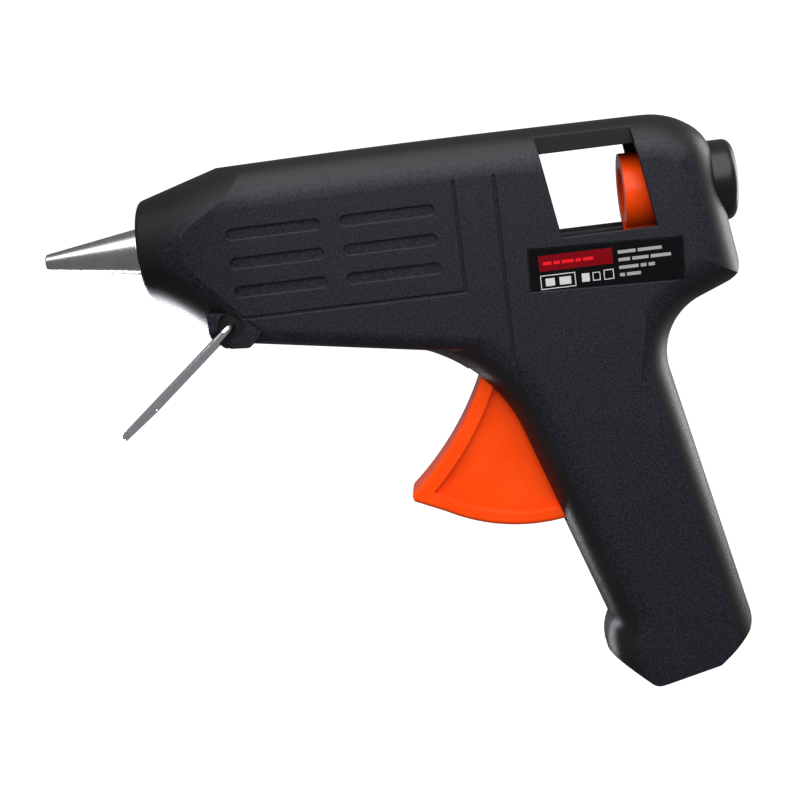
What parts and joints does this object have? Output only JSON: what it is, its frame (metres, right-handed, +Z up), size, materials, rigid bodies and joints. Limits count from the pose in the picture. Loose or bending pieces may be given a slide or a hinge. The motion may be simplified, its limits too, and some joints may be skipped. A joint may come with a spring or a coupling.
{
  "type": "glue gun",
  "caption": "Hot-melt glue gun for thick sticks: split black body with side window, steel nozzle, orange trigger driving a stick carriage, and a folding wire stand.",
  "frame": {"origin": "middle of the footprint of the standing gun, on the surface it stands on", "axes": "+Z up; +X towards the grip and the rear, so the nozzle points to -X and down; +Y from the labelled left side to the right side. The glue stick axis runs along (0.8436, 0, 0.5369)."},
  "size_m": [0.2166, 0.0418, 0.139],
  "materials": {
    "shell_plastic": "fine grain",
    "smooth_black": "smooth satin",
    "orange_plastic": "glossy",
    "nozzle_metal": "turned",
    "cast_aluminium": "cast",
    "heater_film": "film",
    "contact_brass": "satin",
    "heater_ceramic": "matt",
    "white_ceramic": "matt",
    "spring_steel": "satin",
    "silicone": "matt",
    "label_gloss": "glossy",
    "chrome_wire": "polished",
    "lead_insulation": "matt",
    "terminal_plastic": "satin",
    "screw_steel": "satin"
  },
  "bodies": {
    "housing": {"left_shell": "shell_plastic", "right_shell": "shell_plastic", "nozzle": "nozzle_metal", "melt_chamber": "cast_aluminium", "heater_insulation": "heater_film", "heater_electrodes": "contact_brass", "ptc_stones": "heater_ceramic", "heater_clip": "spring_steel", "front_insulator": "white_ceramic", "silicone_sleeve": "silicone", "sleeve_clamp": "spring_steel", "stick_guide": "smooth_black", "inlet_bush": "smooth_black", "rating_label": "label_gloss", "trigger_pin": "spring_steel", "return_spring": "spring_steel", "lead_wires": "lead_insulation", "terminal_block": "terminal_plastic", "terminal_screws": "contact_brass", "case_screws": "screw_steel"},
    "trigger": {"trigger": "orange_plastic", "link_pin": "spring_steel"},
    "carriage": {"carriage": "orange_plastic", "gripper_pin": "spring_steel"},
    "gripper": {"stick_gripper": "spring_steel"},
    "stand": {"wire_stand": "chrome_wire"}
  },
  "joints": [
    {"name": "trigger_pull", "type": "hinge", "parent": "housing", "child": "trigger", "pos_m": [0.01708, 0, 0.06649], "axis": [0, -1, 0], "range_deg": [0, 28.05]},
    {"name": "carriage_slide", "type": "slide", "parent": "housing", "child": "carriage", "axis": [-0.8436, 0, -0.5369], "range_m": [0, 0.01064], "stiffness_N_per_m": 60, "springref_m": -0.012, "deforming": ["return_spring"]},
    {"name": "gripper_bite", "type": "hinge", "parent": "carriage", "child": "gripper", "pos_m": [0.03577, 0, 0.10547], "axis": [0, -1, 0], "range_deg": [0, 8], "stiffness_Nm_per_rad": 0.002, "springref_deg": -5.73},
    {"name": "stand_fold", "type": "hinge", "parent": "housing", "child": "stand", "pos_m": [-0.05362, 0, 0.03974], "axis": [0, -1, 0], "range_deg": [0, 120]}
  ],
  "couplings": [
    {"joint": "trigger_pull", "follows": "carriage_slide", "rad_per_m": 45.907}
  ]
}
